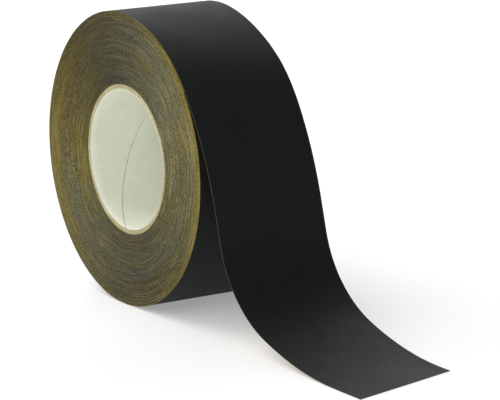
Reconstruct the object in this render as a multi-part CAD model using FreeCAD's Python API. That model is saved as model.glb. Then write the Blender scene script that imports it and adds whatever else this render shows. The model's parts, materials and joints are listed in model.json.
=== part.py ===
"""A roll of cloth tape on a paper core, with its free end paid out over the top.

Millimetres. The roll's axis is Y and the origin is the centre of the core's bore, halfway
across the width. +Z is up. The free end leaves the roll over the top towards +X, hangs
down and lies on the surface that the roll stands on.
"""
import FreeCAD, Part
import math
import os

Vector = FreeCAD.Vector

# paper core: a white liner strip inside and kraft strips around it, each wound as a helix
boreDiameter = 76.2
linerThickness = 0.25
plyThickness = 0.5
plyCount = 5
coreLength = 60.0
seamLead = 110.0          # axial advance of one full turn of a strip's butt seam
seamGap = 0.4
linerSeamAngle = 170.0    # where the liner's seam crosses the middle of the width
seamStagger = 67.0        # each strip's seam stands this far round from the one inside it

# tape: adhesive inside, cloth in the middle, smooth coating outside
tapeWidth = 65.4
adhesiveThickness = 0.10
clothThickness = 0.12
coatingThickness = 0.08
packTurns = 128

# free end: a bow, a straight drop, three bends that level it out, and a flat stretch.
# A bend is its length and its turn in degrees, + upwards; the drop is as long as it has to be
peelAngle = 36.0          # where the tape leaves the roll, above +X
slack = 0.5               # half the gap that the last turn has opened where it leaves the pack
hangingBow = (67.0, -20.5)
kneeBend = (28.5, 29.0)
runOut = (30.0, 26.5)
landingRadius = 197.0
flatLength = 21.0         # lies flat past the last bend, at the front edge
cutSlant = 15.5           # the back edge is this much shorter than the front edge
hingeGap = 0.4            # room between two stretches for the bend between them

# worked out from the sizes above
tapeThickness = adhesiveThickness + clothThickness + coatingThickness
boreRadius = boreDiameter / 2
coreRadius = boreRadius + linerThickness + plyCount * plyThickness
packRadius = coreRadius + packTurns * tapeThickness
rollRadius = packRadius + tapeThickness
floorLevel = -rollRadius
halfWidth = tapeWidth / 2
margin = 5.0              # how far cutting shapes run past what they cut


def heading(degrees):
    """Unit vector in the plane of the side view."""
    angle = math.radians(degrees)
    return Vector(math.cos(angle), 0, math.sin(angle))


class Arc:
    """One stretch of the tape's path. The path is the tape's adhesive face."""

    def __init__(self, start, direction, length, turn):
        self.start = start
        self.direction = direction
        self.length = length
        self.turn = turn
        self.radius = length / math.radians(turn) if turn else None

    def point(self, distance, offset):
        """The point this far along the stretch and this far out from the adhesive face."""
        share = distance / self.length
        outward = heading(self.direction + self.turn * share + 90)
        if self.radius is None:
            return self.start + heading(self.direction) * distance + outward * offset
        centre = self.start + heading(self.direction + 90) * self.radius
        return centre - outward * (self.radius - offset)

    def edge(self, first, last, offset):
        """The edge between two distances along the stretch."""
        a = self.point(first, offset)
        b = self.point(last, offset)
        if self.radius is None:
            return Part.LineSegment(a, b).toShape()
        return Part.Arc(a, self.point((first + last) / 2, offset), b).toShape()


def follow(start, direction, stretches):
    """Arcs joined end to end, each starting in the direction the last one ended in."""
    arcs = []
    for length, turn in stretches:
        arc = Arc(start, direction, length, turn)
        arcs.append(arc)
        start = arc.point(length, 0)
        direction += turn
    return arcs, start, direction


def pathBetween(arcs, first, last):
    """The parts of the arcs that lie between two distances along the whole path."""
    found = []
    travelled = 0.0
    for arc in arcs:
        a = max(first - travelled, 0.0)
        b = min(last - travelled, arc.length)
        if b - a > 1e-6:
            found.append((arc, a, b))
        travelled += arc.length
    return found


def extruded(wire, width):
    """A closed outline in the side view, carried across the width."""
    face = Part.Face(wire)
    face.translate(Vector(0, -width / 2, 0))
    return face.extrude(Vector(0, width, 0))


def strip(arcs, first, last, inner, outer):
    """One layer of the tape along a length of path, between two heights off its adhesive face."""
    pieces = pathBetween(arcs, first, last)
    below = [arc.edge(a, b, inner) for arc, a, b in pieces]
    above = [arc.edge(a, b, outer) for arc, a, b in pieces]
    firstArc, firstFrom, _ = pieces[0]
    lastArc, _, lastTo = pieces[-1]
    startCap = Part.LineSegment(firstArc.point(firstFrom, inner), firstArc.point(firstFrom, outer))
    endCap = Part.LineSegment(lastArc.point(lastTo, inner), lastArc.point(lastTo, outer))
    edges = below + [endCap.toShape()] + above[::-1] + [startCap.toShape()]
    return extruded(Part.Wire(Part.__sortEdges__(edges)), tapeWidth)


def tapeLayers(arcs, first, last):
    """The tape's three layers along a length of path."""
    clothTop = adhesiveThickness + clothThickness
    return {
        "adhesive": strip(arcs, first, last, 0.0, adhesiveThickness),
        "cloth": strip(arcs, first, last, adhesiveThickness, clothTop),
        "coating": strip(arcs, first, last, clothTop, tapeThickness),
    }


def alongY(radius, length):
    """A solid cylinder round the roll's axis."""
    return Part.makeCylinder(radius, length, Vector(0, -length / 2, 0), Vector(0, 1, 0))


def seamCutter(inner, outer, angle):
    """The helical gap between the two edges of one core strip."""
    length = coreLength + 2 * margin
    middle = (inner + outer) / 2
    helix = Part.makeHelix(seamLead, length, middle)
    depth = outer - inner + 2 * margin
    corners = [
        Vector(middle - depth / 2, 0, -seamGap / 2),
        Vector(middle + depth / 2, 0, -seamGap / 2),
        Vector(middle + depth / 2, 0, seamGap / 2),
        Vector(middle - depth / 2, 0, seamGap / 2),
    ]
    profile = Part.makePolygon(corners + corners[:1])
    cutter = Part.Wire(helix.Edges).makePipeShell([profile], True, True)
    # the helix climbs along +Z from +X: lay it along +Y and bring its middle to the angle
    cutter.rotate(Vector(0, 0, 0), Vector(1, 0, 0), -90)
    cutter.translate(Vector(0, -length / 2, 0))
    halfTurn = 180.0 * length / seamLead
    cutter.rotate(Vector(0, 0, 0), Vector(0, 1, 0), -angle - halfTurn)
    return cutter


def coreStrip(inner, outer, angle):
    """One strip of the core: a tube with the strip's butt seam open along it."""
    tube = alongY(outer, coreLength).cut(alongY(inner, coreLength + 2 * margin))
    return tube.cut(seamCutter(inner, outer, angle))


def coreStrips():
    strips = {"core_liner": coreStrip(boreRadius, boreRadius + linerThickness, linerSeamAngle)}
    for number in range(plyCount):
        inner = boreRadius + linerThickness + number * plyThickness
        angle = linerSeamAngle + seamStagger * (number + 1)
        strips[f"core_ply_{number + 1}"] = coreStrip(inner, inner + plyThickness, angle)
    return strips


def lastTurn(lift):
    """The path of one turn outside the pack, with each half turn larger than the one before."""
    start = heading(peelAngle) * packRadius
    growth = tapeThickness / 2 + lift
    halfTurns = [(math.pi * packRadius, -180.0), (math.pi * (packRadius + growth), -180.0)]
    arcs, end, _ = follow(start, peelAngle - 90, halfTurns)
    return arcs, end


def woundPack():
    """The wound turns, bounded by the spiral that the last turn lies on and by the core."""
    arcs, end = lastTurn(0.0)
    edges = [arc.edge(0, arc.length, 0) for arc in arcs]
    edges.append(Part.LineSegment(end, arcs[0].start).toShape())
    pack = extruded(Part.Wire(edges), tapeWidth)
    return pack.cut(alongY(coreRadius, tapeWidth + 2 * margin))


def freeEnd(start):
    """The path of the free end, with a drop that sets it down level on the surface."""
    bow, bowEnd, slope = follow(start, peelAngle - 90, [hangingBow])
    levelling = -slope - kneeBend[1] - runOut[1]
    landing = (landingRadius * math.radians(levelling), levelling)
    bends = [kneeBend, runOut, landing, (flatLength, 0.0)]
    _, bendsEnd, _ = follow(bowEnd, slope, bends)
    drop = (bendsEnd.z - floorLevel) / math.sin(math.radians(-slope))
    rest, _, _ = follow(bowEnd, slope, [(drop, 0.0)] + bends)
    return bow + rest


def slantedCut(arcs):
    """What is cut off the free end."""
    corner = arcs[-1].point(flatLength, 0)
    run = cutSlant * (tapeWidth + 2 * margin) / tapeWidth
    front = corner.x + cutSlant * margin / tapeWidth
    level = corner.z - margin
    outline = Part.makePolygon([
        Vector(front, -halfWidth - margin, level),
        Vector(front + 2 * margin, -halfWidth - margin, level),
        Vector(front + 2 * margin, halfWidth + margin, level),
        Vector(front - run, halfWidth + margin, level),
        Vector(front, -halfWidth - margin, level),
    ])
    return Part.Face(outline).extrude(Vector(0, 0, 2 * margin))


def tapeStretches():
    """The last turn on the roll and the free end, cut where the tape bends most."""
    turnArcs, peelPoint = lastTurn(slack)
    turnLength = sum(arc.length for arc in turnArcs)
    parts = {"outer_turn": tapeLayers(turnArcs, 0.0, turnLength - hingeGap / 2)}

    arcs = freeEnd(peelPoint)
    bow, drop, knee, levelling = [arc.length for arc in arcs[:4]]
    bends = [0.0, bow, bow + drop + knee + levelling]
    bends.append(sum(arc.length for arc in arcs) + hingeGap / 2)
    for number, name in enumerate(["tail_top", "tail_knee", "tail_end"]):
        first = bends[number] + hingeGap / 2
        last = bends[number + 1] - hingeGap / 2
        parts[name] = tapeLayers(arcs, first, last)
        # the bend's axis lies in the middle of the tape's thickness
        hinge = pathBetween(arcs, bends[number], bends[number] + hingeGap)[0]
        pivot = hinge[0].point(hinge[1], tapeThickness / 2)
        print(f"{name} bends at x {pivot.x:.3f} z {pivot.z:.3f}")

    cutter = slantedCut(arcs)
    parts["tail_end"] = {layer: solid.cut(cutter) for layer, solid in parts["tail_end"].items()}
    return {f"{name}_{layer}": solid for name, layers in parts.items() for layer, solid in layers.items()}


def main():
    os.makedirs("parts", exist_ok=True)
    nodes = coreStrips()
    nodes["wound_pack"] = woundPack()
    nodes.update(tapeStretches())
    for name, solid in nodes.items():
        shape = solid.Solids[0] if len(solid.Solids) == 1 else solid
        shape.exportStep(f"parts/{name}.step")
        print(f"{name}: {shape.Volume:.1f} mm3, {len(shape.Solids)} solid, valid {shape.isValid()}")
    print(f"core {2 * coreRadius:.2f}, roll {2 * rollRadius:.2f}, floor {floorLevel:.2f}")


main()
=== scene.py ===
import json
import math

import bpy
import numpy as np
from mathutils import Matrix, Vector


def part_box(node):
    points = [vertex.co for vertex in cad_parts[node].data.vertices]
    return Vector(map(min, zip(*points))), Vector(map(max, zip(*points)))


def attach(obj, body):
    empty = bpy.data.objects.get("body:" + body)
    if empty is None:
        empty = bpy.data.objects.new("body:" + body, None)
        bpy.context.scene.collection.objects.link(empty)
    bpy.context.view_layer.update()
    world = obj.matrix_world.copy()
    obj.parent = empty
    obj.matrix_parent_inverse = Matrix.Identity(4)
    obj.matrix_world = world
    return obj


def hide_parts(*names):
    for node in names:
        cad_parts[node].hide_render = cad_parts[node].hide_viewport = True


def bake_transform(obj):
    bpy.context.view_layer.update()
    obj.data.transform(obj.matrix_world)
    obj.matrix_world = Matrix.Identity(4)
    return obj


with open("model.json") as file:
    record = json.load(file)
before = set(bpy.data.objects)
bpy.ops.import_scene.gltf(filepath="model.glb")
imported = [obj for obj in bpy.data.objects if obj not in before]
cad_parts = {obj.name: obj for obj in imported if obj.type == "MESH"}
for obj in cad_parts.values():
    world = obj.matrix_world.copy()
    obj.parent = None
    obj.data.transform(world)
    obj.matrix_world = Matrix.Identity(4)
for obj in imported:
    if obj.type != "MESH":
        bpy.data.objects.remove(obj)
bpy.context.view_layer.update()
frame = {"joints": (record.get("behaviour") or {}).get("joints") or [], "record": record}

mm = 0.001
fullTurn = 2 * math.pi

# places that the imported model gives
joints = {joint["name"]: Vector(joint["pos_m"]) for joint in frame["joints"]}
mounts = {mount["name"]: mount for mount in frame["record"]["mounts"]}
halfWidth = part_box("wound_pack")[1][1]
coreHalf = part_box("core_liner")[1][1]
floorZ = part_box("tail_end_adhesive")[0][2]
boreRadius = mounts["core_bore"]["dims"]["r_mm"] * mm
rollRadius = -floorZ

# the tape: three layers from the sticky side out, then the bends of the free end in order
tape = dict(
    adhesive=0.10 * mm, cloth=0.12 * mm, coating=0.08 * mm, turns=128,
    bow=(67.0 * mm, -20.5),              # length along the tape, and degrees it turns
    knee=(28.5 * mm, 29.0),
    runOut=(30.0 * mm, 26.5),
    landingRadius=197.0 * mm, flat=21.0 * mm,
    cutSlant=15.5 * mm,                  # the back edge is this much shorter
    slack=0.5 * mm,                      # gap under the last turn where it leaves the roll
    slackTaper=0.7,                      # the gap opens over this last angle, in radians
    pull=3.2 * mm,                       # how far the back rim is drawn in,
    pullAngle=66.0, pullSpread=42.0,     # most at this direction, over this much either side
    wave=0.05 * mm,                      # how far the surface wanders off a true curve,
    ripples=(61.0, 149.0), slantedBy=70.0,    # in two ripples along it, the second one slanted
    curl=0.12 * mm,                      # how far the edges stand up at the cut end
    rollStep=1.5 * mm, freeStep=0.75 * mm, rows=24,
    stickyInset=0.03 * mm,               # the adhesive stops this far short of the edges
    peelFold=6 * mm, kneeReach=20 * mm, endReach=22 * mm,    # how much tape about each joint is meant to bend; here they only fill the table
    crisp=40,                            # edges that turn more than this stay sharp, degrees
)
tapeThickness = tape["adhesive"] + tape["cloth"] + tape["coating"]
peelAngle = math.atan2(joints["tail_lift"].z, joints["tail_lift"].x)
packRadius = rollRadius - tapeThickness
coreRadius = packRadius - tape["turns"] * tapeThickness


def addPiece(name, verts, faces, materials, faceMaterials=None, place=None):
    mesh = bpy.data.meshes.new(name)
    mesh.from_pydata(np.asarray(verts).tolist(), [], faces)
    for material in materials:
        mesh.materials.append(material)
    if faceMaterials is not None:
        mesh.polygons.foreach_set("material_index", faceMaterials)
    if place is not None:
        layer = mesh.attributes.new("tapePlace", "FLOAT_VECTOR", "POINT")
        layer.data.foreach_set("vector", np.asarray(place, np.float32).ravel())
    mesh.polygons.foreach_set("use_smooth", [True] * len(mesh.polygons))
    mesh.validate()
    mesh.update()
    piece = bpy.data.objects.new(name, mesh)
    bpy.context.scene.collection.objects.link(piece)
    return piece


def sharpen(piece, degrees):
    piece.data.set_sharp_from_angle(angle=math.radians(degrees))


# smooth random values from -1 to 1, one for each of count places
def softNoise(seed, count, knots):
    values = np.random.default_rng(seed).uniform(-1, 1, knots + 3)
    at = np.linspace(0, knots, count)
    low = at.astype(int)
    share = at - low
    share = share * share * (3 - 2 * share)
    return values[low] * (1 - share) + values[low + 1] * share


# a colour as a paint program gives it, 0 to 255
def tone(red, green, blue):
    steps = [value / 255 for value in (red, green, blue)]
    return tuple(s / 12.92 if s < 0.04045 else ((s + 0.055) / 1.055) ** 2.4 for s in steps)


def isSocket(value):
    return isinstance(value, bpy.types.NodeSocket)


def node(tree, kind, inputs=None, **settings):
    made = tree.nodes.new(kind)
    for key, value in settings.items():
        setattr(made, key, value)
    for key, value in (inputs or {}).items():
        if isSocket(value):
            tree.links.new(value, made.inputs[key])
        else:
            made.inputs[key].default_value = value
    return made


def calc(tree, operation, a, b=0.0):
    return node(tree, "ShaderNodeMath", {0: a, 1: b}, operation=operation).outputs[0]


def times(tree, first, *others):
    for other in others:
        first = calc(tree, "MULTIPLY", first, other)
    return first


def plus(tree, first, *others):
    for other in others:
        first = calc(tree, "ADD", first, other)
    return first


def combine(tree, x, y, z):
    return node(tree, "ShaderNodeCombineXYZ", {0: x, 1: y, 2: z}).outputs[0]


def noise(tree, vector, scale, detail, roughness):
    inputs = {"Vector": vector, "Scale": scale, "Detail": detail, "Roughness": roughness}
    return node(tree, "ShaderNodeTexNoise", inputs).outputs["Fac"]


# noise that is finer one way than another
def grained(tree, coordinates, scales, detail, roughness):
    place = [times(tree, c, scale) if isSocket(c) else c for c, scale in zip(coordinates, scales)]
    return noise(tree, combine(tree, *place), 1.0, detail, roughness)


# value from low to high becomes start to end, with soft ends
def spread(tree, value, low, high, start=0.0, end=1.0):
    inputs = {"Value": value, "From Min": low, "From Max": high, "To Min": start, "To Max": end}
    return node(tree, "ShaderNodeMapRange", inputs, interpolation_type="SMOOTHSTEP").outputs[0]


def mixed(tree, factor, a, b, mode="MIX"):
    made = node(tree, "ShaderNodeMix", data_type="RGBA", blend_type=mode)
    for socket, value in ((made.inputs[0], factor), (made.inputs[6], a), (made.inputs[7], b)):
        if isSocket(value):
            tree.links.new(value, socket)
        else:
            socket.default_value = value if isinstance(value, float) else (*value, 1.0)
    return made.outputs[2]


def bump(tree, height, distance, normal=None):
    inputs = {"Height": height, "Distance": distance}
    if normal is not None:
        inputs["Normal"] = normal
    return node(tree, "ShaderNodeBump", inputs).outputs[0]


def newMaterial(name, roughness, specular):
    material = bpy.data.materials.new(name)
    material.use_nodes = True
    tree = material.node_tree
    shader = tree.nodes["Principled BSDF"]
    shader.inputs["Roughness"].default_value = roughness
    shader.inputs["Specular IOR Level"].default_value = specular
    return material, tree, shader


def finish(tree, shader, colour, normal, roughness=None):
    tree.links.new(colour, shader.inputs["Base Color"])
    tree.links.new(normal, shader.inputs["Normal"])
    if roughness is not None:
        tree.links.new(roughness, shader.inputs["Roughness"])


# across the tape, along it, and height above the sticky face
def tapeCoordinates(tree):
    place = node(tree, "ShaderNodeAttribute", attribute_name="tapePlace").outputs["Vector"]
    return (place, *node(tree, "ShaderNodeSeparateXYZ", {0: place}).outputs)


# the object's own coordinates, distance from the roll's axis, and the direction round it
def roundTheRoll(tree):
    place = node(tree, "ShaderNodeTexCoord").outputs["Object"]
    x, y, z = node(tree, "ShaderNodeSeparateXYZ", {0: place}).outputs
    radius = calc(tree, "SQRT", plus(tree, times(tree, x, x), times(tree, z, z)))
    cosine, sine = (calc(tree, "DIVIDE", side, radius) for side in (x, z))
    return place, x, y, z, radius, cosine, sine


# how nearly the direction from the axis agrees with this one
def facing(tree, cosine, sine, degrees):
    angle = math.radians(degrees)
    return plus(tree, times(tree, cosine, math.cos(angle)), times(tree, sine, math.sin(angle)))


# warp and weft, as a height from -1 to 1
def weave(tree, across, along, thread, weftShare=0.8):
    pitch = fullTurn / thread
    warp = calc(tree, "SINE", times(tree, across, pitch))
    weft = calc(tree, "SINE", times(tree, along, pitch * weftShare))
    return times(tree, warp, weft)


# smooth matt black film, with the cloth under it just showing through
def makeCoating():
    look = dict(
        base=tone(21, 23, 23), worn=tone(26, 30, 30), roughness=0.66, roughSpread=0.05,
        specular=0.17, sheenTint=(0.94, 1.0, 1.02, 1.0),
        thread=1.2 * mm, threadDepth=0.07 * mm, grain=900.0, grainDepth=0.025 * mm, blotch=45.0,
    )
    material, tree, shader = newMaterial("matt black coating", look["roughness"], look["specular"])
    shader.inputs["Specular Tint"].default_value = look["sheenTint"]
    place, across, along, _ = tapeCoordinates(tree)
    grain = noise(tree, place, look["grain"], 4.0, 0.6)
    blotch = noise(tree, place, look["blotch"], 3.0, 0.5)
    streaks = grained(tree, (across, along, 0.0), (260.0, 9.0, 1.0), 3.0, 0.55)
    shade = plus(tree, times(tree, blotch, 0.35), times(tree, streaks, 0.25))
    colour = mixed(tree, spread(tree, shade, 0.15, 0.5, 0.0, 0.55), look["base"], look["worn"])
    fromTo = look["roughness"] - look["roughSpread"], look["roughness"] + look["roughSpread"]
    rough = plus(tree, spread(tree, blotch, 0.3, 0.7, -0.02, 0.02), spread(tree, grain, 0.3, 0.7, *fromTo))
    woven = bump(tree, weave(tree, across, along, look["thread"]), look["threadDepth"])
    finish(tree, shader, colour, bump(tree, grain, look["grainDepth"], woven), rough)
    return material


# the cut edge of the tape: dark film over threads soaked with adhesive
def makeCutEdge():
    look = dict(film=tone(34, 34, 28), threads=tone(98, 97, 52), adhesive=tone(132, 122, 30))
    material, tree, shader = newMaterial("cut edge", 0.7, 0.3)
    _, _, along, depth = tapeCoordinates(tree)
    fibres = grained(tree, (along, depth, 0.0), (1500.0, 3000.0, 1.0), 4.0, 0.7)
    threads = mixed(tree, spread(tree, fibres, 0.35, 0.7), look["threads"], look["adhesive"])
    filmFrom = spread(tree, depth, 0.16 * mm, 0.22 * mm)
    finish(tree, shader, mixed(tree, filmFrom, threads, look["film"]), bump(tree, fibres, 0.05 * mm))
    return material


# yellow-brown rubber adhesive, printed with the weave of the cloth
def makeAdhesive():
    look = dict(base=tone(150, 128, 58), deep=tone(112, 90, 34), roughness=0.38,
                thread=0.55 * mm, threadDepth=0.02 * mm, cloud=120.0, cloudDepth=0.15 * mm)
    material, tree, shader = newMaterial("adhesive", look["roughness"], 0.5)
    place, across, along, _ = tapeCoordinates(tree)
    cloud = noise(tree, place, look["cloud"], 4.0, 0.6)
    colour = mixed(tree, spread(tree, cloud, 0.3, 0.7), look["deep"], look["base"])
    fromTo = look["roughness"] - 0.1, look["roughness"] + 0.15
    uneven = bump(tree, cloud, look["cloudDepth"])
    printed = bump(tree, weave(tree, across, along, look["thread"]), look["threadDepth"], uneven)
    finish(tree, shader, colour, printed, spread(tree, cloud, 0.25, 0.75, *fromTo))
    return material


# the side of the wound tape: a dark and a yellow line for each turn, rubbed and smeared, with painted sheen
# and painted light multiplied over the colour
def makeWoundEdges():
    look = dict(
        adhesive=tone(136, 121, 40), threads=tone(122, 114, 70), film=tone(62, 61, 42),
        yellow=tone(148, 125, 12), grey=tone(104, 104, 86), shadow=tone(46, 45, 28),
        light=tone(174, 165, 108),
        # painted sheen along one line through the axis, and painted light from the right, both multiplied
        # into the colour
        paintedLightTowards=14.0, paintedLight=0.56, unlit=0.315, paintedLightFromRight=0.14,
        yellowTowards=155.0, greyTowards=222.0,
        patches=38.0, speckle=1700.0, chatter=(620.0, 170.0),
        streakDepth=0.12 * mm, speckleDepth=0.06 * mm,
    )
    material, tree, shader = newMaterial("wound tape edges", 0.62, 0.2)
    _, x, _, z, radius, cosine, sine = roundTheRoll(tree)
    # which turn a point is on, counted along the spiral, and where in that turn's layers
    angle = calc(tree, "ARCTAN2", sine, cosine)
    outTurns = calc(tree, "DIVIDE", calc(tree, "SUBTRACT", radius, coreRadius), tapeThickness)
    partTurn = calc(tree, "DIVIDE", calc(tree, "SUBTRACT", angle, peelAngle), fullTurn)
    layer = calc(tree, "FRACT", plus(tree, outTurns, partTurn, 2.0))

    # noise drawn out along the turns
    def streak(acrossTurns, alongTurns, seed, detail=3.0):
        out = plus(tree, times(tree, radius, acrossTurns), seed)
        place = combine(tree, out, times(tree, cosine, alongTurns), times(tree, sine, alongTurns))
        return noise(tree, place, 1.0, detail, 0.6)

    # a part of the side that counts: 0 to 1 and back over four distances from the axis
    def ringOf(risesFrom, risesTo, fallsFrom, fallsTo):
        return times(tree, spread(tree, radius, risesFrom, risesTo), spread(tree, radius, fallsTo, fallsFrom))

    fine = streak(2300.0, 30.0, 0.0, 2.0)
    rings = streak(1900.0, 3.5, 20.0, 2.0)
    middle = streak(420.0, 4.0, 40.0)
    broad = streak(110.0, 1.8, 90.0)
    patches = grained(tree, (x, 3.0, z), (look["patches"], 1.0, look["patches"]), 4.0, 0.62)
    speckle = grained(tree, (x, 9.0, z), (look["speckle"], 1.0, look["speckle"]), 2.0, 0.6)
    # short marks across the turns, left by the slitting knife
    slanted = calc(tree, "SUBTRACT", x, z), plus(tree, x, z), 5.0
    chatter = grained(tree, slanted, (*look["chatter"], 1.0), 2.0, 0.6)
    sides = spread(tree, calc(tree, "ABSOLUTE", cosine), 0.72, 0.97)
    midway = ringOf(coreRadius + 4 * mm, coreRadius + 12 * mm, packRadius - 14 * mm, packRadius - 6 * mm)
    marks = times(tree, spread(tree, chatter, 0.5, 0.64, 0.0, 0.75), times(tree, sides, midway))
    # the rim is yellower, most of all towards the free end, and so is a band on the far side
    rim = times(tree, spread(tree, radius, packRadius - 8 * mm, packRadius),
                spread(tree, cosine, -1.2, 1.0, 0.3, 0.9))
    band = times(tree, ringOf(0.80 * packRadius, 0.86 * packRadius, 0.89 * packRadius, 0.95 * packRadius),
                 spread(tree, cosine, 0.2, -0.9, 0.0, 0.9))
    yellowed = spread(tree, facing(tree, cosine, sine, look["yellowTowards"]), 0.3, 1.0, 0.0, 0.6)
    smeared = spread(tree, facing(tree, cosine, sine, look["greyTowards"]), 0.6, 1.0, 0.0, 0.7)
    smear = times(tree, smeared, ringOf(coreRadius + 8 * mm, coreRadius + 16 * mm,
                                        packRadius - 14 * mm, packRadius - 4 * mm))
    # painted sheen: the colour is made brightest along one line through the axis, as on brushed metal, and
    # painted light makes it brighter towards the right
    along = facing(tree, cosine, sine, look["paintedLightTowards"])
    paintedLight = plus(tree, times(tree, along, along, look["paintedLight"]), look["unlit"],
                 times(tree, cosine, look["paintedLightFromRight"]))

    colour = mixed(tree, spread(tree, layer, 0.28, 0.4), look["adhesive"], look["threads"])
    coats = [
        (spread(tree, layer, 0.66, 0.76), "film"),
        (spread(tree, patches, 0.42, 0.66, 0.0, 0.5), "yellow"),
        (spread(tree, broad, 0.42, 0.58, 0.0, 0.8), "grey"),
        (calc(tree, "MAXIMUM", rim, band), "yellow"),
        (yellowed, "yellow"),
        (smear, "grey"),
        (spread(tree, radius, coreRadius + 7 * mm, coreRadius, 0.0, 0.4), "shadow"),
        (spread(tree, middle, 0.5, 0.7, 0.0, 0.25), "shadow"),
        (spread(tree, fine, 0.44, 0.6, 0.0, 0.62), "shadow"),
        (spread(tree, rings, 0.5, 0.64, 0.0, 0.52), "shadow"),
        (spread(tree, rings, 0.46, 0.34, 0.0, 0.5), "light"),
        (marks, "shadow"),
        (spread(tree, speckle, 0.5, 0.64, 0.0, 0.58), "light"),
        (spread(tree, speckle, 0.48, 0.38, 0.0, 0.45), "shadow"),
    ]
    for share, name in coats:
        colour = mixed(tree, share, colour, look[name])
    # the painted sheen and painted light darken and brighten the colour here
    colour = mixed(tree, 1.0, colour, combine(tree, paintedLight, paintedLight, paintedLight), "MULTIPLY")
    brushed = bump(tree, fine, look["streakDepth"], bump(tree, speckle, look["speckleDepth"]))
    finish(tree, shader, colour, brushed, spread(tree, fine, 0.3, 0.7, 0.5, 0.75))
    return material


# paper board, with fibres lying round the core
def makePaper(name, base, dark, depth, roughness):
    look = dict(fibres=(26.0, 1600.0, 26.0), cloud=70.0, grit=2400.0, specks=310.0,
                speckTone=tone(96, 92, 70))
    material, tree, shader = newMaterial(name, roughness, 0.25)
    place, _, y, _, _, cosine, sine = roundTheRoll(tree)
    fibres = grained(tree, (cosine, y, sine), look["fibres"], 4.0, 0.65)
    cloud = noise(tree, place, look["cloud"], 3.0, 0.6)
    grit = noise(tree, place, look["grit"], 3.0, 0.6)
    specks = noise(tree, place, look["specks"], 1.0, 0.5)
    shade = plus(tree, times(tree, fibres, 0.5), times(tree, cloud, 0.5))
    colour = mixed(tree, spread(tree, shade, 0.35, 0.65), dark, base)
    colour = mixed(tree, spread(tree, grit, 0.62, 0.8, 0.0, 0.3), colour, dark)
    colour = mixed(tree, spread(tree, specks, 0.76, 0.84, 0.0, 0.3), colour, look["speckTone"])
    finish(tree, shader, colour, bump(tree, grit, depth, bump(tree, fibres, depth)))
    return material


coating = makeCoating()
cutEdge = makeCutEdge()
adhesive = makeAdhesive()
woundEdges = makeWoundEdges()
whitePaper = makePaper("white liner paper", tone(226, 228, 213), tone(217, 219, 202), 0.015 * mm, 0.8)
kraftPaper = makePaper("kraft board", tone(184, 178, 142), tone(160, 151, 114), 0.05 * mm, 0.9)
# inside of each ply, seen only at the bottom of the liner's seam: kraft darkened by glue, and darker still as
# painted shade in that narrow groove
gluedPaperAndSeamShade = makePaper("glue-soaked kraft board with painted seam shade", tone(84, 79, 54), tone(66, 61, 42), 0.03 * mm, 0.6)
print("materials made:", len(bpy.data.materials))


studio = dict(
    floor=tone(220, 220, 220), floorGlow=0.3, floorSize=6.0,
    bright=1.3, dim=0.08, darkSide=(0.602, 0.502, 0.622),    # the sky is dim in this direction
)


def makeFloor():
    size = studio["floorSize"]
    corners = [(x * size, y * size, floorZ) for x, y in ((-1, -1), (1, -1), (1, 1), (-1, 1))]
    material, _, shader = newMaterial("pale floor", 0.9, 0.0)
    shader.inputs["Base Color"].default_value = (*studio["floor"], 1.0)
    shader.inputs["Emission Color"].default_value = (1.0, 1.0, 1.0, 1.0)
    shader.inputs["Emission Strength"].default_value = studio["floorGlow"]
    addPiece("floor", corners, [(0, 1, 2, 3)], [material])


makeFloor()


# how far the roll's back rim lies inside the front one, where the last turns pull it in
def drawnIn(angle):
    degrees = (np.degrees(angle) + 180) % 360 - 180
    share = (degrees - tape["pullAngle"]) / tape["pullSpread"]
    fade = np.cos(np.clip(share, -1, 1) * math.pi / 2) ** 2
    return tape["pull"] * np.where(np.abs(share) < 1, fade, 0.0)


# how far the last turns stand off a tight roll, on the half turn before the tape peels
def loosened(angle):
    back = (angle - peelAngle) % fullTurn
    opened = np.where(back < math.pi, tape["slack"] * (1 + np.cos(back)), 0.0)
    return opened * np.clip(back / tape["slackTaper"], 0, 1)


# one ribbon in a spiral: a ridge for each turn's cloth, a groove for its adhesive
wound = dict(
    around=180, ridge=0.05 * mm, groove=0.05 * mm,
    wander=0.10 * mm, wandersPerTurn=5,   # the tape strays sideways as it is wound,
    drift=0.25 * mm, drifts=14,           # a little in every turn and slowly over the whole roll
    dish=1.9 * mm, dishWidth=0.75,        # the sides slope in over this share, towards the core
    crisp=60,
)


def woundVerts(stations, angle):
    wander = softNoise(11, len(stations), tape["turns"] * wound["wandersPerTurn"]) * wound["wander"]
    drift = softNoise(12, len(stations), wound["drifts"]) * wound["drift"]
    shift = wander + drift * 0.5 - wound["wander"] - wound["drift"] * 0.5
    verts = []
    for side in (-1, 1):
        for half, lift in ((0.0, -wound["groove"]), (0.5, wound["ridge"])):
            radius = coreRadius + tapeThickness * (stations / wound["around"] + half)
            share = np.clip((radius - coreRadius) / (packRadius - coreRadius), 0, 1)
            radius = radius + loosened(angle) * share ** 3
            if side > 0:
                radius = radius - drawnIn(angle) * share
            near = np.clip(1 - share / wound["dishWidth"], 0, 1)
            sunk = wound["dish"] * near * near * (3 - 2 * near)
            y = side * (halfWidth + lift + shift - sunk)
            verts.append(np.stack([radius * np.cos(angle), y, radius * np.sin(angle)], 1))
    return verts


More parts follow.
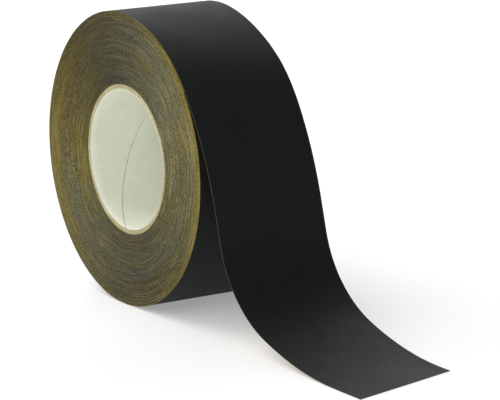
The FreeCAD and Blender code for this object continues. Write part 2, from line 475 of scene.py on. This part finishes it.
def makeWoundTape():
    around, lastTurn = wound["around"], tape["turns"] * wound["around"]
    stations = np.arange(lastTurn + around + 1)
    verts = woundVerts(stations, peelAngle - fullTurn * stations / around)
    frontGroove, frontRidge, backGroove, backRidge = (len(stations) * row for row in range(4))
    faces = []
    for p in range(lastTurn):
        q = p + around
        faces.append((frontGroove + p, frontRidge + p, frontRidge + p + 1, frontGroove + p + 1))
        faces.append((frontRidge + p, frontGroove + q, frontGroove + q + 1, frontRidge + p + 1))
        faces.append((backGroove + p + 1, backRidge + p + 1, backRidge + p, backGroove + p))
        faces.append((backRidge + p + 1, backGroove + q + 1, backGroove + q, backRidge + p))
    sideFaces = len(faces)
    # the inner wall against the core, the outer one under the last turn, and the ribbon's two ends
    for first in (0, lastTurn):
        for p in range(first, first + around):
            wall = (frontGroove + p + 1, backGroove + p + 1, backGroove + p, frontGroove + p)
            faces.append(wall if first else wall[::-1])
    for p in (0, lastTurn):
        q = p + around
        cap = (frontGroove + p, backGroove + p, backRidge + p,
               backGroove + q, frontGroove + q, frontRidge + p)
        faces.append(cap[::-1] if p else cap)
    kinds = [0] * sideFaces + [1] * (len(faces) - sideFaces)
    piece = addPiece("wound_tape", np.concatenate(verts), faces, [woundEdges, cutEdge], kinds)
    sharpen(piece, wound["crisp"])
    return piece


woundTape = makeWoundTape()
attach(woundTape, "roll")
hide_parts("wound_pack")
print("wound tape:", len(woundTape.data.polygons), "faces")


# a point along an arc, with the heading there; angles in radians
def arcPoint(start, heading, length, turn, distance):
    if abs(turn) < 1e-9:
        return start + distance * np.array([math.cos(heading), math.sin(heading)]), heading
    now = heading + turn * distance / length
    left = np.array([-math.sin(heading), math.cos(heading)])
    leftNow = np.array([-math.sin(now), math.cos(now)])
    return start + length / turn * (left - leftNow), now


# arcs laid end to end
def chain(start, heading, bends):
    arcs = []
    for length, degrees in bends:
        turn = math.radians(degrees)
        arcs.append((start, heading, length, turn))
        start, heading = arcPoint(start, heading, length, turn, length)
    return arcs, start, heading


# the last turn and the free end, with the distance along them where the tape peels
def tapePath():
    out = np.array([math.cos(peelAngle), math.sin(peelAngle)])
    growth = tapeThickness / 2 + tape["slack"]
    halfTurns = [(math.pi * packRadius, -180.0), (math.pi * (packRadius + growth), -180.0)]
    roll, peel, _ = chain(out * packRadius, peelAngle - math.pi / 2, halfTurns)
    bow, bowEnd, slope = chain(peel, peelAngle - math.pi / 2, [tape["bow"]])
    level = -math.degrees(slope) - tape["knee"][1] - tape["runOut"][1]
    landing = (tape["landingRadius"] * math.radians(level), level)
    bends = [tape["knee"], tape["runOut"], landing, (tape["flat"], 0.0)]
    # a straight drop before the bends brings the flat part down to the floor
    _, low, _ = chain(bowEnd, slope, bends)
    drop = (low[1] - floorZ) / math.sin(-slope)
    rest, _, _ = chain(bowEnd, slope, [(drop, 0.0)] + bends)
    return roll + bow + rest, sum(arc[2] for arc in roll)


pathArcs, rollLength = tapePath()
arcEnds = np.cumsum([arc[2] for arc in pathArcs])
pathLength = arcEnds[-1] - rollLength
kneeAt = tape["bow"][0]
runOutArc = 5                            # end_flex works where this bend ends
endAt = arcEnds[runOutArc] - rollLength
print("free end", round(pathLength / mm, 1), "mm, bends at", round(kneeAt / mm, 1), round(endAt / mm, 1))


# side-view point and outward direction, at a distance from the line where the tape peels
def onPath(station):
    travelled = station + rollLength
    number = min(int(np.searchsorted(arcEnds, travelled)), len(pathArcs) - 1)
    start, heading, length, turn = pathArcs[number]
    point, now = arcPoint(start, heading, length, turn, travelled - (arcEnds[number] - length))
    return point, np.array([-math.sin(now), math.cos(now)])


# small wander of the tape off its true curve, outwards only
def wave(station, across):
    long, short = tape["ripples"]
    slant = across * tape["slantedBy"]
    ripple = math.sin(station * long + 1.0) + math.sin(station * short + slant)
    lift = tape["wave"] * (0.5 + 0.25 * ripple)
    if station > 0:
        lift += tape["curl"] * (station / pathLength) ** 3 * (across / halfWidth) ** 2
    return lift


# one layer of the tape between two distances along its path; materials: face, edges, back
def strip(name, first, last, inner, outer, faceMaterials, cut=False, inset=0.0):
    step = tape["freeStep"] if first >= 0 else tape["rollStep"]
    count = max(2, int(round((last - first) / step)))
    rows, edge = tape["rows"], halfWidth - inset
    across = np.linspace(-1, 1, rows + 1) * edge
    middle = (inner + outer) / 2
    # round the section: over the outer face, round one edge, back under, round the other edge
    section = [(y, outer) for y in across] + [(edge, middle)]
    section += [(y, inner) for y in across[::-1]] + [(-edge, middle)]
    size = len(section)
    verts, place = [], []
    for number in range(count + 1):
        for y, height in section:
            backShare = (y + halfWidth) / (2 * halfWidth)
            end = last - tape["cutSlant"] * backShare if cut else last
            station = first + (end - first) * number / count
            point, out = onPath(station)
            lifted = height + wave(station, y)
            if station < kneeAt:
                lifted -= drawnIn(math.atan2(point[1], point[0])) * backShare
            verts.append((point[0] + out[0] * lifted, y, point[1] + out[1] * lifted))
            place.append((y, station + 1.0, height))
    faces, kinds = [], []
    for a in range(count * size):
        around = a % size
        b = a + 1 if around < size - 1 else a + 1 - size
        faces.append((a, a + size, b + size, b))
        kinds.append(0 if around < rows else 2 if rows + 2 <= around < 2 * rows + 2 else 1)
    # the two ends: quads between the faces, and a triangle at each rounded edge
    for start in (0, count * size):
        under = start + 2 * rows + 2
        caps = [(start + k, start + k + 1, under - k - 1, under - k) for k in range(rows)]
        caps.append((start, start + size - 1, under)[::-1])
        caps.append((start + rows, start + rows + 1, start + rows + 2))
        faces += [cap[::-1] for cap in caps] if start else caps
        kinds += [1] * len(caps)
    used = list(dict.fromkeys(faceMaterials))
    indices = [used.index(faceMaterials[kind]) for kind in kinds]
    piece = addPiece(name, verts, faces, used, indices, place)
    sharpen(piece, tape["crisp"])
    return piece


# name, from, to, the bodies it goes with, where it bends between them, how it is held, by what
split = kneeAt / 2, (kneeAt + endAt) / 2
stretches = [
    ("outer_turn", -rollLength, 0.0, ["roll"], None, "stretched", "wound_tape"),
    ("tail_top", 0.0, split[0], ["roll", "tail_top"],
     (0.0, tape["peelFold"]), "hung", "outer_turn_backing"),
    ("tail_knee", split[0], split[1], ["tail_top", "tail_knee"],
     (kneeAt - tape["kneeReach"], kneeAt + tape["kneeReach"]), "hung", "tail_top_backing"),
    ("tail_end", split[1], pathLength, ["tail_knee", "tail_end"],
     (endAt - tape["endReach"], endAt + tape["endReach"]), "laid", "floor"),
]


def goesWith(piece, bodies, bend):
    if bend is None:
        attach(piece, bodies[0])
    else:
        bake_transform(piece)


for name, first, last, bodies, bend, held, support in stretches:
    cut = name == "tail_end"
    backing = strip(name + "_backing", first, last, tape["adhesive"], tapeThickness,
                    [coating, cutEdge, cutEdge], cut=cut)
    sticky = strip(name + "_sticky", first, last, 0.0, tape["adhesive"],
                   [adhesive, cutEdge, adhesive], cut=cut, inset=tape["stickyInset"])
    goesWith(backing, bodies, bend)
    goesWith(sticky, bodies, bend)
    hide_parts(name + "_cloth", name + "_coating")
    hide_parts(name + "_adhesive")


core = dict(
    liner=0.25 * mm, ply=0.5 * mm, plies=5,
    lead=110.0 * mm, gap=0.7 * mm,         # the seam climbs this far in one turn, and is this wide
    linerSeam=170.0, stagger=67.0,         # where the seams cross the middle, in degrees
    ragged=0.12 * mm, raggedBits=23,       # the cut ends stand out and in by this, so many times
    softEdge=0.08 * mm, crisp=50, around=160, rows=14,
)


# a paper strip wound once round, its two edges meeting along a helix
def coreStrip(name, inner, outer, seamDegrees, materials, seed):
    around, rows = core["around"], core["rows"]
    gapAngle = core["gap"] / inner
    soft = min(core["softEdge"], (outer - inner) * 0.3)
    ys = np.linspace(-1, 1, rows + 1)
    section = [(y, inner) for y in ys] + [(y, outer) for y in ys[::-1]]
    size = len(section) + 4

    def onStrip(share, along, radius):
        seam = math.radians(seamDegrees) - fullTurn * along / core["lead"]
        angle = seam + gapAngle / 2 + share * (fullTurn - gapAngle)
        return radius * math.cos(angle), along, radius * math.sin(angle)

    verts = []
    for number, ragged in enumerate(softNoise(seed, around + 1, core["raggedBits"]) * core["ragged"]):
        share, half = number / around, coreHalf + ragged * 0.5
        for y, radius in section:
            back = soft if abs(y) == 1 else 0.0
            verts.append(onStrip(share, y * half - math.copysign(back, y), radius))
        for end in (-1, 1):
            for radius in (inner + soft, outer - soft):
                verts.append(onStrip(share, end * half, radius))
    # round the section: inner rows, back end, outer rows, front end
    inn = list(range(rows + 1))
    out = list(range(rows + 1, 2 * rows + 2))
    frontInner, frontOuter, backInner, backOuter = range(2 * rows + 2, size)
    ring = inn + [backInner, backOuter] + out + [frontOuter, frontInner]
    faces, kinds = [], []
    for start in range(0, around * size, size):
        for k, a in enumerate(ring):
            b = ring[(k + 1) % len(ring)]
            faces.append((start + a, start + b, start + size + b, start + size + a))
            # the face towards the bore is the second material, where there is one; on the plies it shows only
            # down the liner's seam, as glue-darkened kraft with painted shade
            kinds.append(len(materials) - 1 if k < rows else 0)
    caps = [(inn[k], inn[k + 1], out[rows - k - 1], out[rows - k]) for k in range(rows)]
    caps += [(inn[0], out[rows], frontOuter, frontInner), (inn[rows], backInner, backOuter, out[0])]
    for start in (0, around * size):
        for cap in caps:
            quad = tuple(start + v for v in cap)
            faces.append(quad if start else quad[::-1])
            kinds.append(0)
    piece = addPiece(name, verts, faces, materials, kinds)
    sharpen(piece, core["crisp"])
    return piece


linerOuter = boreRadius + core["liner"]
liner = coreStrip("liner_paper", boreRadius, linerOuter, core["linerSeam"], [whitePaper], 31)
coreParts = [(liner, "core_liner", "white_liner")]
for number in range(1, core["plies"] + 1):
    outer = linerOuter + number * core["ply"]
    seam = core["linerSeam"] + core["stagger"] * number
    ply = coreStrip(f"kraft_ply_{number}", outer - core["ply"], outer, seam,
                    [kraftPaper, gluedPaperAndSeamShade], 39 + number)
    coreParts.append((ply, f"core_ply_{number}", "kraft_board"))
for piece, name, slotName in coreParts:
    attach(piece, "roll")
    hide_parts(name)
print("core strips:", len(coreParts))


# white all round, but dim on the side that the free end faces
def makeWorld():
    world = bpy.data.worlds.new("studio")
    world.use_nodes = True
    tree = world.node_tree
    direction = node(tree, "ShaderNodeTexCoord").outputs["Generated"]
    towards = node(tree, "ShaderNodeVectorMath", {0: direction, 1: studio["darkSide"]},
                   operation="DOT_PRODUCT").outputs["Value"]
    shade = spread(tree, towards, 0.0, 0.88, studio["bright"], studio["dim"])
    sky = tree.nodes["Background"]
    sky.inputs["Color"].default_value = (1.0, 1.0, 1.0, 1.0)
    tree.links.new(shade, sky.inputs["Strength"])
    bpy.context.scene.world = world


def addSoftbox(name, place, size, power):
    light = bpy.data.lights.new(name, "AREA")
    light.shape = "RECTANGLE"
    light.size, light.size_y = size
    light.energy = power
    lamp = bpy.data.objects.new(name, light)
    lamp.location = place
    lamp.rotation_euler = (-Vector(place)).to_track_quat("-Z", "Y").to_euler()
    bpy.context.scene.collection.objects.link(lamp)


def makeCamera():
    view = dict(azimuth=57.121, elevation=12.688, roll=-0.484, distance=1.593, lens=211.0,
                aim=(27.2 * mm, 31.6 * mm, -25.3 * mm))
    azimuth, elevation, roll = (math.radians(view[key]) for key in ("azimuth", "elevation", "roll"))
    outwards = Vector((math.sin(azimuth), -math.cos(azimuth), 0.0))
    back = outwards * math.cos(elevation) + Vector((0.0, 0.0, math.sin(elevation)))
    level = Vector((math.cos(azimuth), math.sin(azimuth), 0.0))
    upright = back.cross(level)
    right = level * math.cos(roll) + upright * math.sin(roll)
    up = upright * math.cos(roll) - level * math.sin(roll)
    camera = bpy.data.objects.new("camera", bpy.data.cameras.new("camera"))
    turn = Matrix((right, up, back)).transposed().to_4x4()
    camera.matrix_world = Matrix.Translation(Vector(view["aim"]) + back * view["distance"]) @ turn
    camera.data.lens = view["lens"]
    camera.data.clip_end = 50.0
    bpy.context.scene.collection.objects.link(camera)
    bpy.context.scene.camera = camera


makeWorld()
addSoftbox("key", (-1.5, -0.6, 1.9), (2.0, 2.0), 26.0)
addSoftbox("fill", (1.5, -1.3, 1.4), (1.2, 1.2), 10.0)
addSoftbox("behind", (-1.1, 1.0, 1.05), (1.6, 1.0), 7.0)
makeCamera()
bpy.context.scene.view_settings.view_transform = "Standard"
print("studio lit")
